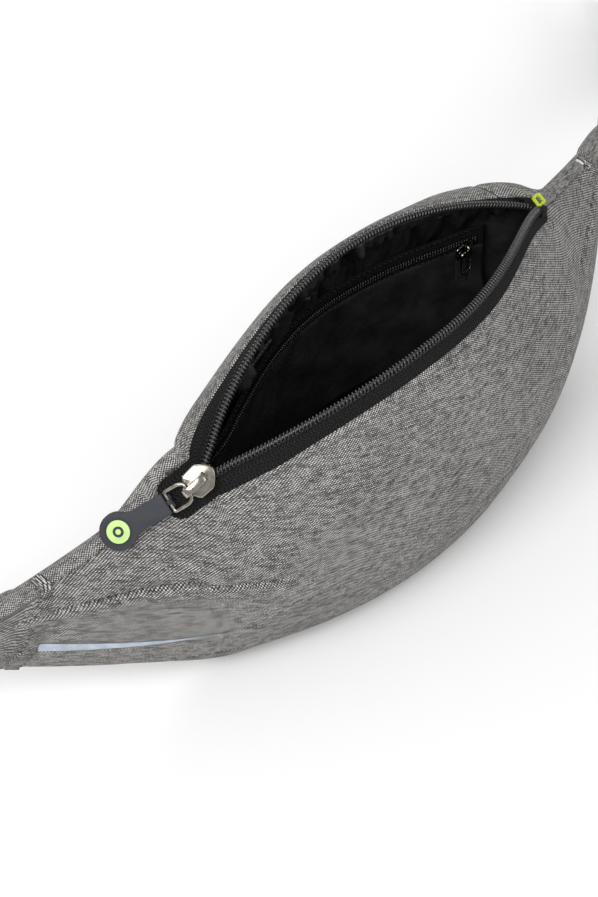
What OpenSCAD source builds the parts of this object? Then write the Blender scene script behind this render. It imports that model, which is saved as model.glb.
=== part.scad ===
// Waist bag with a curved zipped mouth, tapering side wings and a webbing belt with a buckle.
// Millimetres. X along the bag, +Y towards the wearer, +Z up, origin under the bag on the floor.

/* [Bag] */
// half length of the main zip opening
mouth_half = 100; // [90:1:110]
// height of the mouth's two ends above the floor
mouth_z = 112; // [104:1:120]
// half distance between the two wing bindings
binding_x = 162; // [156:1:168]
// half length of the bag with its wings
wing_x = 198; // [190:1:206]
// how far the front edge of the mouth stands forward
front_open = 33.5; // [25:1:40]
// how far the back edge of the mouth stands back
back_open = 24; // [18:1:28]

/* [Materials] */
// thickness of the padded outer fabric
shell_t = 2.2; // [1.6:0.1:2.6]
// thickness of the lining
lining_t = 0.8; // [0.5:0.1:1]
// visible width of each zip tape
tape_w = 7.5; // [6:0.5:9]
// radius of the zip's coils
coil_r = 1.3; // [1:0.1:1.6]

/* [Belt] */
// width of the webbing
web_w = 30; // [25:1:32]
// thickness of the webbing
web_t = 1.6; // [1.2:0.1:2]
// length of the left webbing
web_left = 62; // [50:1:90]
// length of the right webbing
web_right = 128; // [100:1:160]

/* [Hidden] */
step_x = binding_x / 15;
gap = 0.4;
slider_x = -mouth_half + 1.5;

// ---- curves along the bag, each a function of x giving [y, z] ----
function q(x) = max(1 - pow(x / (x < 0 ? mouth_half - 5 : mouth_half), 2), 0);
function past(x) = max(abs(x) - mouth_half, 0);
function smooth(k) = let (c = min(max(k, 0), 1)) c * c * (3 - 2 * c);
function hump(x) = 1 - smooth((abs(x) - mouth_half + (x > 0 ? 12 : 2)) / 34);
function skew(x) = 3.5 - 8 * smooth((15 - x) / 85) - 5 * smooth((x - 68) / 30);
function crest(x) = let (k = past(x)) [0.5 * k - 0.0018 * k * k, mouth_z - 0.75 * k + 0.004 * k * k];
function mouth_f(x) = crest(x) + [-front_open * pow(q(x), x > 0 ? 1.45 : 0.85), 27 * pow(q(x), 0.9)];
function mouth_b(x) = crest(x) + [back_open * pow(q(x), 0.75), 30 * pow(q(x), 1.1)];
function back_top(x) = let (h = hump(x), c = q(x))
  mouth_b(x) + [(20 - c + skew(x)) * h + 10 * (1 - h), (6 - 33 * c) * h - 2 * (1 - h)];
function seam_a(x) = [-46 + 0.0024 * x * x, 33 + 0.0007 * x * x];
function seam_b(x) = let (g = 1 - pow(min(abs(x) / wing_x, 1), 2)) seam_a(x) + [5 + 3 * g, -13 - 9 * g];
function back_low(x) = [back_top(x)[0] + 1, 8 + 0.001 * x * x];
function bez(a, c, b, t) = (1 - t) * (1 - t) * a + 2 * t * (1 - t) * c + t * t * b;

// ---- the outline of one cross-section, from the back of the mouth round to its front ----
function tape_here(x) = tape_w * (1 - 0.4 * smooth((x - 25) / 55)) * (1 - smooth((x > 0 ? x - mouth_half + 4 : -x - mouth_half - 8) / 6)) + 0.02;
function top_curve(x, t) = let (a = mouth_b(x), b = back_top(x)) bez(a, (a + b) / 2 + [0, 4], b, t);
function back_curve(x, t) = let (a = back_top(x), b = back_low(x)) bez(a, (a + b) / 2 + [4, 0], b, t);
function base_curve(x, t) = let (a = back_low(x), b = seam_b(x), h = 1 - smooth((abs(x) - mouth_half + 2) / 46))
  bez(a, [0.4 * a[0] + 0.6 * b[0], min(a[1], b[1]) - 25 * h - 2], b, t);
function band_curve(x, t) = (1 - t) * seam_b(x) + t * seam_a(x);
function front_curve(x, t) = let (a = seam_a(x), b = mouth_f(x), h = hump(x))
  bez(a, [min(a[0], b[0]) - 10 * h + 2 - 6 * h, b[1] - 0.42 * (b[1] - a[1])], b, t);
function on_floor(p) = [p[0], max(p[1], 0)];
function section(x) = let (
    top_l = norm(back_top(x) - mouth_b(x)) + 1,
    front_l = norm(seam_a(x) - mouth_f(x)) + 4,
    kt = min(tape_here(x) / top_l, 0.5),
    kf = min(tape_here(x) / front_l, 0.5)
  ) [
    for (t = [0, 0.5]) top_curve(x, t * kt),
    for (i = [0:3]) top_curve(x, kt + (1 - kt) * i / 4),
    for (i = [0:5]) back_curve(x, i / 6),
    for (i = [0:7]) on_floor(base_curve(x, i / 8)),
    for (i = [0:1]) band_curve(x, i / 2),
    for (i = [0:7]) front_curve(x, (1 - kf) * i / 8),
    for (t = [1, 0.5, 0]) front_curve(x, 1 - t * kf)
  ];
I_TOP = 2;
I_BACK = 6;
I_BASE = 12;
I_BAND = 20;
I_FRONT = 22;
I_TAPE = 30;
I_END = 32;

function unit(v) = v / max(norm(v), 1e-6);
function inward(d) = [d[1], -d[0]];
function miter(s, i) = (i == 0 || i == I_END) ? [0, -1] :
  (i == I_TOP && norm(s[i] - s[0]) < 2 || i == I_TAPE && norm(s[i] - s[I_END]) < 2) ? [0, -1.2] :
  let (
    a = inward(unit(s[i] - s[i - 1])),
    b = inward(unit(s[i + 1] - s[i])),
    m = unit(a + b)
  ) m / max(m * a, 0.55);
function moved(s, i, d) = s[i] + d * miter(s, i);
function place(x, p) = [x, p[0], p[1]];
// one strip of a cross-section between points i0 and i1, drawn in a little at both ends
function strip(x, i0, i1, d) = let (
    s = section(x),
    p = [for (i = [i0:i1]) moved(s, i, d)],
    n = i1 - i0,
    a = p[0] + gap / 2 * unit(p[1] - p[0]),
    b = p[n] + gap / 2 * unit(p[n - 1] - p[n])
  ) [for (i = [0:n]) place(x, i == 0 ? a : i == n ? b : p[i])];

// a closed solid between two grids of points with the same rows and columns
module plate(outer, inner) {
  r = len(outer);
  c = len(outer[0]);
  n = r * c;
  pts = [for (g = [outer, inner]) for (row = g) for (p = row) p];
  faces = [
    for (i = [0:r - 2]) for (j = [0:c - 2]) let (k = i * c + j) for (f = [
      [k, k + 1, k + c + 1],
      [k, k + c + 1, k + c],
      [n + k, n + k + c + 1, n + k + 1],
      [n + k, n + k + c, n + k + c + 1]
    ]) f,
    for (i = [0:r - 2]) let (a = i * c, b = i * c + c - 1) for (f = [
      [a, a + c, n + a + c],
      [a, n + a + c, n + a],
      [b, n + b + c, b + c],
      [b, n + b, n + b + c]
    ]) f,
    for (j = [0:c - 2]) let (a = j, b = n - c + j) for (f = [
      [a, n + a + 1, a + 1],
      [a, n + a, n + a + 1],
      [b, b + 1, n + b + 1],
      [b, n + b + 1, n + b]
    ]) f
  ];
  polyhedron(pts, faces);
}
function steps(x0, x1, n) = [for (i = [0:n - 1]) x0 + (x1 - x0) * i / (n - 1)];
// stations shared by every panel, so that neighbours follow the same edges
function stations(x0, x1) = [
    x0,
    for (i = [-20:20]) if (i * step_x > x0 + 1 && i * step_x < x1 - 1) i * step_x,
    x1
  ];
module panel(x0, x1, i0, i1, d0, d1) {
  xs = stations(x0, x1);
  plate([for (x = xs) strip(x, i0, i1, d0)], [for (x = xs) strip(x, i0, i1, d1)]);
}
// a closed bar swept through rings of points
module tube(rings) {
  r = len(rings);
  c = len(rings[0]);
  pts = [for (ring = rings) for (p = ring) p];
  faces = [
    for (i = [0:r - 2]) for (j = [0:c - 1]) let (k = (j + 1) % c) for (f = [
      [i * c + j, i * c + k, i * c + c + k],
      [i * c + j, i * c + c + k, i * c + c + j]
    ]) f,
    [for (j = [0:c - 1]) c - 1 - j],
    [for (j = [0:c - 1]) (r - 1) * c + j]
  ];
  polyhedron(pts, faces);
}

// ---- outer fabric ----
module front_panel() color("gray") panel(-binding_x, binding_x, I_FRONT, I_TAPE, 0, shell_t);
module lower_band() color("gray") panel(-binding_x, binding_x, I_BAND, I_FRONT, 0, shell_t);
module bottom_panel() color("gray") panel(-binding_x, binding_x, I_BASE, I_BAND, 0, shell_t);
module back_panel() color("dimgray") panel(-binding_x, binding_x, I_BACK, I_BASE, 0, shell_t);
seam_x = 8 * step_x;
module top_panel_main() color("gray") panel(-binding_x, seam_x - gap / 2, I_TOP, I_BACK, 0, shell_t);
module top_panel_end() color("gray") panel(seam_x + gap / 2, binding_x, I_TOP, I_BACK, 0, shell_t);
module back_pad() color("black") panel(-9 * step_x, 9 * step_x, I_BACK + 1, I_BASE - 1, -4, -gap);

// the outline of a wing, as a closed ring
function wing_ring(x, d) = let (s = section(x))
  [for (i = [2:I_TAPE - 1]) place(x, moved(s, i, d))];
module wing(side) {
  xs = steps(side * (binding_x + gap), side * wing_x, 8);
  ordered = side > 0 ? xs : [for (i = [7:-1:0]) xs[i]];
  tube([for (x = ordered) wing_ring(x, 0)]);
}
module wing_left() color("gray") wing(-1);
module wing_right() color("gray") wing(1);
module binding(side) {
  a = side * (binding_x - 3);
  b = side * (binding_x + 3);
  panel(min(a, b), max(a, b), I_BAND, I_TAPE - 1, -1.2, -gap);
}
module binding_left() color("dimgray") binding(-1);
module binding_right() color("dimgray") binding(1);
// the strip tapers away towards the middle of the bag
function strip_row(x, d) = let (
    s = section(x),
    w = 4.2 * (x + 84) / -76 + 0.3,
    a = moved(s, I_FRONT, d),
    dir = unit(moved(s, I_FRONT + 1, d) - a)
  ) [place(x, a + 0.3 * dir), place(x, a + (0.3 + w) * dir)];
module reflective_strip() color("lightsteelblue") {
  xs = steps(-binding_x + 4, -84, 12);
  plate([for (x = xs) strip_row(x, -0.7)], [for (x = xs) strip_row(x, -0.3)]);
}

// ---- main zip ----
tape_start = 10 * step_x;
tape_end = 9 * step_x;
coil_start = mouth_half - 11;
coil_end = mouth_half - 12;
module zip_tape_front() color("black") panel(-tape_start, tape_end, I_TAPE, I_END, 0.5, 1.3);
module zip_tape_back() color("black") panel(-tape_start, tape_end, 0, I_TOP, 0.5, 1.3);
function ring(p, r) = [for (i = [0:5]) p + r * [0, cos(60 * i), sin(60 * i)]];
module coil(back) {
  xs = steps(-coil_start, coil_end, 41);
  tube([for (x = xs) let (m = back ? mouth_b(x) : mouth_f(x))
    ring([x, m[0] + (back ? -1 : 1) * (coil_r + 0.3), m[1] - 0.9], coil_r)]);
}
module zip_coil_front() color("dimgray") coil(false);
module zip_coil_back() color("dimgray") coil(true);
// the end tab lies across the far end of the mouth, tilted with the fabric there
tab_roll = 32;
module at_tab()
  translate([mouth_half - 3, 1.5, mouth_z + 3.1])
    rotate([tab_roll, 0, 0])
      children();
module zip_end_tab() color("black") at_tab()
  translate([-2.2, -6.2, 1.9])
    cube([6, 12.7, 1.2]);
module end_tab_mark() color("yellowgreen") at_tab()
  translate([0.8, 1.6, 3.2])
    linear_extrude(0.5)
      for (k = [-1, 1])
        translate([0, k * 1.6])
          circle(r = 1.4, $fn = 32);
// two plates joined by a neck, and a bridge over the upper plate, tilted with the fabric
plate_t = 1.4;
slider_d = unit([1, -0.2, 0.5]);
slider_n = unit(cross(slider_d, [0, cos(37.5), sin(37.5)]));
slider_e = cross(slider_n, slider_d);
module at_slider()
  multmatrix([
      [slider_d[0], slider_e[0], slider_n[0], slider_x],
      [slider_d[1], slider_e[1], slider_n[1], 0.5],
      [slider_d[2], slider_e[2], slider_n[2], mouth_z - 0.7],
      [0, 0, 0, 1]
    ])
    children();
module slider_plate(z, nose)
  translate([0, 0, z])
    linear_extrude(plate_t)
      polygon([[nose, -1.8], [-4.6, -2], [-2.5, -5.4], [4.6, -5.4], [7, -2], [8, -0.9],
        [8, 1.2], [7, 2.2], [4.6, 5.4], [-2.5, 5.4], [-4.6, 2], [nose, 1.8]]);
module slider_body() color("silver") at_slider() {
  slider_plate(-5.3, -5);
  slider_plate(2.6, -7);
  translate([6.6, -0.4, -4.1])
    cube([1.4, 1.4, 6.9]);
  for (x = [-7, 3])
    translate([x, -1.6, 3.8])
      cube([1.2, 3.2, 2.8]);
  translate([-7, -1.6, 6.35])
    cube([11.2, 3.2, 1.3]);
}
// the wire frame hangs from the bridge and the rubber pull from the frame, along the crest seam
pull_yaw = 168;
frame_dip = 16;
rubber_dip = 13;
wire_r = 0.8;
frame_l = 8.4;
frame_w = 4.2;
head_x = 22.5;
module at_frame()
  at_slider()
    translate([-4.4, 0, 5.25])
      rotate([0, 0, pull_yaw])
        rotate([0, frame_dip, 0])
          children();
module at_pull()
  at_frame()
    translate([frame_l, 0, 0])
      rotate([0, rubber_dip - frame_dip, 0])
        children();
module bar(x, w)
  translate([x, 0, 0])
    rotate([90, 0, 0])
      cylinder(h = w, r = wire_r, center = true, $fn = 32);
module pull_frame() color("silver") at_frame() {
  bar(0, 7.4);
  bar(frame_l, 2 * frame_w + 1);
  for (k = [-1, 1])
    mirror([0, k > 0 ? 0 : 1, 0])
      translate([0, 0, -0.7])
        linear_extrude(1.4)
          polygon([[-0.6, 2.6], [0.6, 2.6], [2.6, 3.5], [frame_l + 0.5, 3.5],
            [frame_l + 0.5, 4.9], [2, 4.9], [-0.6, 3.9]]);
}
module rubber_pull() color("darkslategray") at_pull()
  difference() {
    union() {
      rotate([90, 0, 0])
        cylinder(h = 6.2, r = 2.2, center = true, $fn = 48);
      translate([0, -3.1, -1.5])
        cube([2.4, 6.2, 3]);
      translate([1.6, -4.3, -1.5])
        cube([head_x - 1.6, 8.6, 3]);
      translate([head_x, 0, -1.5])
        cylinder(h = 3, r = 7.4, $fn = 64);
    }
    rotate([90, 0, 0])
      cylinder(h = 12, r = wire_r + 0.09, center = true, $fn = 48);
    translate([head_x, 0, 0.9])
      cylinder(h = 1, r = 4.7, $fn = 64);
  }
module pull_disc() color("palegreen") at_pull()
  translate([head_x, 0, 0.95])
    cylinder(h = 0.8, r = 4.5, $fn = 64);

// ---- lining and what is inside ----
lin0 = shell_t + gap;
lin1 = lin0 + lining_t;
lin_x = 9 * step_x;
module lining_front() color("black") panel(-lin_x, lin_x, I_BAND + 1, I_TAPE, lin0, lin1);
module lining_base() color("black") panel(-lin_x, lin_x, I_BASE + 1, I_BAND + 1, lin0, lin1);
module lining_back() color("black") panel(-lin_x, lin_x, I_TOP, I_BASE + 1, lin0, lin1);
module inner_binding() color("darkslategray") panel(-8 * step_x, -4 * step_x, I_TOP + 1, I_BACK - 1, lin1 + 0.4, lin1 + 1.4);

// a flat place on the inner back wall, z measured from the floor
function wall_y(x) = let (a = back_top(x)) a[0] - lin1 - 0.8 - 0.0012 * x * x + 6 * smooth((abs(x) - 64) / 28);
function wall_grid(x0, x1, z0, z1, d) = [for (x = steps(x0, x1, 25)) [for (z = steps(z0, z1, 3)) [x, wall_y(x) - d, z]]];
module on_wall(x0, x1, z0, z1, d0, d1)
  plate(wall_grid(x0, x1, z0, z1, d0), wall_grid(x0, x1, z0, z1, d1));
pocket_z = 94;
module pocket_panel() color("black") on_wall(-86, 86, 30, pocket_z - 5.4, 0, 0.8);
module pocket_zip_tape() color("black") on_wall(-86, 86, pocket_z - 5, pocket_z + 5, 0, 0.8);
module pocket_zip_coil() color("dimgray") on_wall(-82, 82, pocket_z - 1.2, pocket_z + 1.2, 1.1, 2.6);
pocket_slider_x = 73;
function pocket_y() = wall_y(pocket_slider_x) - 7.2;
module pocket_slider() color("silver")
  translate([pocket_slider_x, pocket_y(), pocket_z]) {
    translate([-5, -0.2, -3.6])
      cube([10, 1.2, 7.2]);
    for (z = [-3.4, 2.2])
      translate([-1.2, -2.4, z])
        cube([2.4, 2.4, 1.2]);
    translate([-1.2, -3.6, -3.4])
      cube([2.4, 1.3, 6.8]);
  }
module pocket_pull() color("silver")
  translate([pocket_slider_x, pocket_y() - 1.2, pocket_z])
    rotate([90, 0, 0])
      linear_extrude(1.1, center = true)
        difference() {
          translate([-3.6, -12])
            square([7.2, 12.6]);
          translate([-2.2, -10.6])
            square([4.4, 9.8]);
        }
module blank_label() color("black") on_wall(74, 79, 66, 83, 1.2, 1.7);

// ---- belt ----
web_z = (crest(wing_x)[1] + seam_b(wing_x)[1]) / 2;
web_y = (crest(wing_x)[0] + seam_b(wing_x)[0]) / 2 + 4;
web_a = 22;
web_drop = web_z - web_w / 2 - 1.6;
// the belt leaves the wing outwards and back and sinks to the floor
function web_at(s) = let (a = web_a + 0.1 * s)
  [wing_x + gap + s * cos(a), web_y + s * sin(a), web_z - web_drop * smooth(s / 120)];
function web_side(s) = let (d = web_at(s + 1) - web_at(s), n = unit([d[1], -d[0]])) [n[0], n[1], 0];
function web_row(side, s, off) = [for (k = [-1, 1]) let (p = web_at(s) + off * web_side(s) + [0, 0, k * web_w / 2])
  [side * p[0], p[1], p[2]]];
module web(side, s0, s1, off0, off1, n) {
  a = [for (s = steps(s0, s1, n)) web_row(side, s, off0)];
  b = [for (s = steps(s0, s1, n)) web_row(side, s, off1)];
  if (side > 0) plate(a, b);
  else plate(b, a);
}
module webbing_left() color("black") web(-1, 0, web_left, -web_t / 2, web_t / 2, 9);
module webbing_right() color("black") web(1, 0, web_right, -web_t / 2, web_t / 2, 15);
module web_tail() color("black") web(1, 70, web_right - 4, web_t / 2 + 0.4, 1.5 * web_t + 0.4, 10);
module at_web(side, s) {
  p = web_at(s);
  d = web_at(s + 1) - web_at(s);
  translate([side * p[0], p[1], p[2]])
    rotate([0, 0, side > 0 ? atan2(d[1], d[0]) : 180 - atan2(d[1], d[0])])
      children();
}
module web_keeper() color("black") at_web(1, 114)
  difference() {
    translate([-4, -4.3, -web_w / 2 - 1.4])
      cube([8, 6.6, web_w + 2.8]);
    translate([-5, -3.3, -web_w / 2 - 0.5])
      cube([10, 4.6, web_w + 1]);
  }
module buckle_socket() color("black") at_web(-1, web_left)
  difference() {
    translate([0.4, -5, -15.4])
      cube([34, 10, 35]);
    translate([13, -3, -12.4])
      cube([30, 6, 29]);
    translate([3.4, -6, -12.4])
      cube([5, 12, 29]);
    for (z = [-16.4, 15.6])
      translate([16, -3, z])
        cube([11, 6, 5]);
  }
module buckle_plug() color("black") at_web(1, web_right) {
  difference() {
    translate([0.4, -4, -16.4])
      cube([16, 8, 32.8]);
    translate([3.4, -5, -14])
      cube([4.6, 10, 28]);
  }
  for (z = [-13.6, 9])
    translate([16.3, -2.6, z])
      cube([26, 5.2, 4.6]);
  translate([16.3, -2, -1.7])
    cube([20, 4, 3.4]);
}

front_panel();
lower_band();
bottom_panel();
back_panel();
top_panel_main();
top_panel_end();
back_pad();
wing_left();
wing_right();
binding_left();
binding_right();
reflective_strip();
zip_tape_front();
zip_tape_back();
zip_coil_front();
zip_coil_back();
zip_end_tab();
end_tab_mark();
slider_body();
pull_frame();
rubber_pull();
pull_disc();
lining_front();
lining_base();
lining_back();
inner_binding();
pocket_panel();
pocket_zip_tape();
pocket_zip_coil();
pocket_slider();
pocket_pull();
blank_label();
webbing_left();
webbing_right();
buckle_socket();
buckle_plug();
web_keeper();
web_tail();
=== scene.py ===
"""Waist bag: woven panels, zips, lining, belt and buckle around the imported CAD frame."""
import math
import random

import bmesh
import bpy
import numpy as np
from mathutils import Matrix, Vector


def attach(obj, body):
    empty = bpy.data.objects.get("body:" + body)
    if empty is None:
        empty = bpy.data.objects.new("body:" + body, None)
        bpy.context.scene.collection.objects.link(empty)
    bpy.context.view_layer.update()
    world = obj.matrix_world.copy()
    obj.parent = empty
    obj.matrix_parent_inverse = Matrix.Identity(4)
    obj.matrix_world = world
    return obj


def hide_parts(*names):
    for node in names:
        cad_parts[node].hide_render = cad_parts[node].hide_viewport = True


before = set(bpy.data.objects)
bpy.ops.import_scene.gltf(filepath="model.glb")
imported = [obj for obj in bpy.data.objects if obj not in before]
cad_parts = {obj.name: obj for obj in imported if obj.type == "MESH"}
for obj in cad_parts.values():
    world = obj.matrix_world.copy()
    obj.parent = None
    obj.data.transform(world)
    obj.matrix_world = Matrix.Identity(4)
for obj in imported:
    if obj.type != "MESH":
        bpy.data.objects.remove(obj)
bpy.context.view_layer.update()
MM = 0.001

# ---- driving sizes, in mm, the same as the frame's ----
MOUTH_HALF = 100.0  # half length of the mouth
MOUTH_Z = 112.0  # height of the mouth's ends
BINDING_X = 162.0  # middle to wing binding
WING_X = 198.0  # middle to wing end
FRONT_OPEN = 33.5  # how far the mouth's front edge stands forward
BACK_OPEN = 24.0  # how far its back edge stands back
TAPE_W = 7.5  # zip tape's visible width


# ---- curves along the bag: each gives (y, z) at a place x ----
def vec(*p):
    return np.array(p, float)


def smooth(k):
    c = min(max(k, 0.0), 1.0)
    return c * c * (3 - 2 * c)


def fullness(x):
    """1 at the mouth's middle, 0 at its ends; the left end is 5 mm shorter."""
    return max(1 - (x / (MOUTH_HALF - 5 if x < 0 else MOUTH_HALF)) ** 2, 0.0)


def hump(x):
    return 1 - smooth((abs(x) - MOUTH_HALF + (12 if x > 0 else 2)) / 34)


def skew(x):
    return 3.5 - 8 * smooth((15 - x) / 85) - 5 * smooth((x - 68) / 30)


def crest(x):
    """The crest of the wings, which starts at the mouth's ends."""
    k = max(abs(x) - MOUTH_HALF, 0.0)
    return vec(0.5 * k - 0.0018 * k * k, MOUTH_Z - 0.75 * k + 0.004 * k * k)


def mouth_f(x):
    q = fullness(x)
    return crest(x) + vec(-FRONT_OPEN * q ** (1.45 if x > 0 else 0.85), 27 * q ** 0.9)


def mouth_b(x):
    q = fullness(x)
    return crest(x) + vec(BACK_OPEN * q ** 0.75, 30 * q ** 1.1)


def back_top(x):
    h, q = hump(x), fullness(x)
    return mouth_b(x) + vec((20 - q + skew(x)) * h + 10 * (1 - h), (6 - 33 * q) * h - 2 * (1 - h))


def seam_a(x):
    return vec(-46 + 0.0024 * x * x, 33 + 0.0007 * x * x)


def seam_b(x):
    g = 1 - min(abs(x) / WING_X, 1) ** 2
    return seam_a(x) + vec(5 + 3 * g, -13 - 9 * g)


def back_low(x):
    return vec(back_top(x)[0] + 1, 8 + 0.001 * x * x)


# ---- the outline of one cross-section: t runs from 0 to 1 along each stretch ----
def bez(a, c, b, t):
    return (1 - t) ** 2 * a + 2 * t * (1 - t) * c + t * t * b


def top_curve(x, t):
    a, b = mouth_b(x), back_top(x)
    return bez(a, (a + b) / 2 + vec(0, 4), b, t)


def back_curve(x, t):
    a, b = back_top(x), back_low(x)
    return bez(a, (a + b) / 2 + vec(4, 0), b, t)


def base_curve(x, t):
    a, b, h = back_low(x), seam_b(x), 1 - smooth((abs(x) - MOUTH_HALF + 2) / 46)
    p = bez(a, vec(0.4 * a[0] + 0.6 * b[0], min(a[1], b[1]) - 25 * h - 2), b, t)
    return vec(p[0], max(p[1], 0))


def band_curve(x, t):
    return (1 - t) * seam_b(x) + t * seam_a(x)


def front_curve(x, t):
    a, b, h = seam_a(x), mouth_f(x), hump(x)
    return bez(a, vec(min(a[0], b[0]) - 10 * h + 2 - 6 * h, b[1] - 0.42 * (b[1] - a[1])), b, t)


def tape_here(x):
    """The zip tape's width: it narrows to the right and runs out past the mouth's ends."""
    past = x - MOUTH_HALF + 4 if x > 0 else -x - MOUTH_HALF - 8
    return TAPE_W * (1 - 0.4 * smooth((x - 25) / 55)) * (1 - smooth(past / 6)) + 0.02


def kt(x):
    """The tape's share of the top curve."""
    return min(tape_here(x) / (np.linalg.norm(back_top(x) - mouth_b(x)) + 1), 0.5)


def kf(x):
    """The tape's share of the front curve."""
    return min(tape_here(x) / (np.linalg.norm(seam_a(x) - mouth_f(x)) + 4), 0.5)


# ---- materials ----
def material(name, base, rough, metallic=0.0, **sockets):
    """A new material and the short names that build its node tree."""
    m = bpy.data.materials.new(name)
    m.use_nodes = True
    b = m.node_tree.nodes["Principled BSDF"]
    b.inputs["Base Color"].default_value = (*base, 1)
    b.inputs["Roughness"].default_value = rough
    b.inputs["Metallic"].default_value = metallic
    for k, v in sockets.items():
        b.inputs[k.replace("_", " ")].default_value = v
    return m, Net(m.node_tree, b)


class Net:
    """Short names for building a node tree."""

    def __init__(self, tree, bsdf):
        self.t, self.b = tree, bsdf
        uv = tree.nodes.new("ShaderNodeTexCoord")
        s = tree.nodes.new("ShaderNodeSeparateXYZ")
        tree.links.new(uv.outputs["UV"], s.inputs[0])
        self.uv, self.u, self.v = uv.outputs["UV"], s.outputs[0], s.outputs[1]
        self.obj = uv.outputs["Object"]

    def put(self, socket, value):
        if isinstance(value, (int, float)):
            socket.default_value = value
        else:
            self.t.links.new(value, socket)

    def math(self, op, a, b=0.0, c=0.0):
        n = self.t.nodes.new("ShaderNodeMath")
        n.operation = op
        for s, v in zip(n.inputs, (a, b, c)):
            self.put(s, v)
        return n.outputs[0]

    def wave(self, x, period):
        return self.math("SINE", self.math("MULTIPLY", x, 2 * math.pi / period))

    def vec(self, x, y, z=0.0):
        n = self.t.nodes.new("ShaderNodeCombineXYZ")
        for s, v in zip(n.inputs, (x, y, z)):
            self.put(s, v)
        return n.outputs[0]

    def noise(self, vector, scale, detail=2.0, rough=0.5):
        n = self.t.nodes.new("ShaderNodeTexNoise")
        self.put(n.inputs["Vector"], vector)
        n.inputs["Scale"].default_value = scale
        n.inputs["Detail"].default_value = detail
        n.inputs["Roughness"].default_value = rough
        return n.outputs["Fac"]

    def step(self, x, lo, hi, to_lo=0.0, to_hi=1.0):
        n = self.t.nodes.new("ShaderNodeMapRange")
        n.interpolation_type = "SMOOTHSTEP"
        for s, v in zip(n.inputs, (x, lo, hi, to_lo, to_hi)):
            self.put(s, v)
        return n.outputs[0]

    def mix(self, f, a, b):
        n = self.t.nodes.new("ShaderNodeMix")
        n.data_type = "RGBA"
        self.put(n.inputs[0], f)
        for s, v in zip((n.inputs[6], n.inputs[7]), (a, b)):
            if isinstance(v, tuple):
                s.default_value = (*v, 1)
            else:
                self.t.links.new(v, s)
        return n.outputs[2]

    def ramp(self, f, *stops):
        n = self.t.nodes.new("ShaderNodeValToRGB")
        e = n.color_ramp.elements
        while len(e) < len(stops):
            e.new(0.5)
        for k, (pos, col) in zip(e, stops):
            k.position = pos
            k.color = (*col, 1)
        self.put(n.inputs[0], f)
        return n.outputs[0]

    def color(self, value, creases=0.0):
        # With creases set, an ambient-occlusion node darkens the colour towards near-black in creases and
        # where parts meet: painted shade.
        if creases:
            n = self.t.nodes.new("ShaderNodeAmbientOcclusion")
            n.inputs["Distance"].default_value = creases
            self.t.links.new(value, n.inputs["Color"])
            value = self.mix(n.outputs["AO"], (0.01, 0.01, 0.009), value)
        self.t.links.new(value, self.b.inputs["Base Color"])

    def rough(self, value):
        self.t.links.new(value, self.b.inputs["Roughness"])

    def bump(self, height, distance, strength=1.0):
        n = self.t.nodes.new("ShaderNodeBump")
        n.inputs["Distance"].default_value = distance
        n.inputs["Strength"].default_value = strength
        self.t.links.new(height, n.inputs["Height"])
        old = self.b.inputs["Normal"]
        if old.is_linked:
            self.t.links.new(old.links[0].from_socket, n.inputs["Normal"])
        self.t.links.new(n.outputs[0], old)


def heather(name, shade=1.0, yarn=0.00054):
    """Two-tone heather plain weave: every yarn has its own grey, and it changes along its length."""
    m, k = material(name, (0.2, 0.2, 0.2), 0.9, Specular_IOR_Level=0.2)
    u = k.math("DIVIDE", k.u, yarn)
    v = k.math("DIVIDE", k.v, yarn)
    wob = k.noise(k.uv, 900, 1)
    u2 = k.math("ADD", u, k.math("MULTIPLY", wob, 0.5))
    v2 = k.math("ADD", v, k.math("MULTIPLY", wob, 0.5))
    over = k.step(k.math("MULTIPLY", k.wave(u2, 2), k.wave(v2, 2)), -0.3, 0.3)
    warp = k.noise(k.vec(k.math("MULTIPLY", k.math("FLOOR", u), 3.71), k.math("MULTIPLY", v, 0.13)), 1.0, 2)
    weft = k.noise(k.vec(k.math("MULTIPLY", u, 0.13), k.math("MULTIPLY", k.math("FLOOR", v), 3.71), 7.0),
                   1.0, 2)
    f = k.step(over, 0, 1, 0, 1)
    mixed = k.t.nodes.new("ShaderNodeMix")
    k.put(mixed.inputs["Factor"], f)
    k.put(mixed.inputs["A"], warp)
    k.put(mixed.inputs["B"], weft)
    cloud = k.noise(k.uv, 22, 3)
    g = k.math("ADD", mixed.outputs["Result"], k.math("MULTIPLY", k.math("SUBTRACT", cloud, 0.5), 0.12))
    g = k.math("ADD", g, k.math("MULTIPLY", k.math("SUBTRACT", over, 0.5), 0.3))
    gaps = k.math("MULTIPLY", k.math("ABSOLUTE", k.wave(u2, 2)), k.math("ABSOLUTE", k.wave(v2, 2)))
    s = shade
    col = k.ramp(g, (0.3, (0.03 * s, 0.029 * s, 0.028 * s)), (0.45, (0.14 * s, 0.136 * s, 0.131 * s)),
                 (0.56, (0.3 * s, 0.291 * s, 0.281 * s)), (0.72, (0.74 * s, 0.72 * s, 0.694 * s)))
    # Painted shade: the colour falls to the darkest grey along the gaps between yarns, where the bump is
    # lowest.
    dark = k.mix(k.step(gaps, 0.0, 0.4), (0.03 * s, 0.029 * s, 0.028 * s), col)
    k.color(k.mix(0.82, col, dark))
    lift = k.math("ADD", k.math("MULTIPLY", gaps, 0.7), k.math("MULTIPLY", over, 0.3))
    k.bump(lift, 0.0003, 0.9)
    k.bump(k.noise(k.uv, 60, 2), 0.0012, 0.25)
    return m


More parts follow.
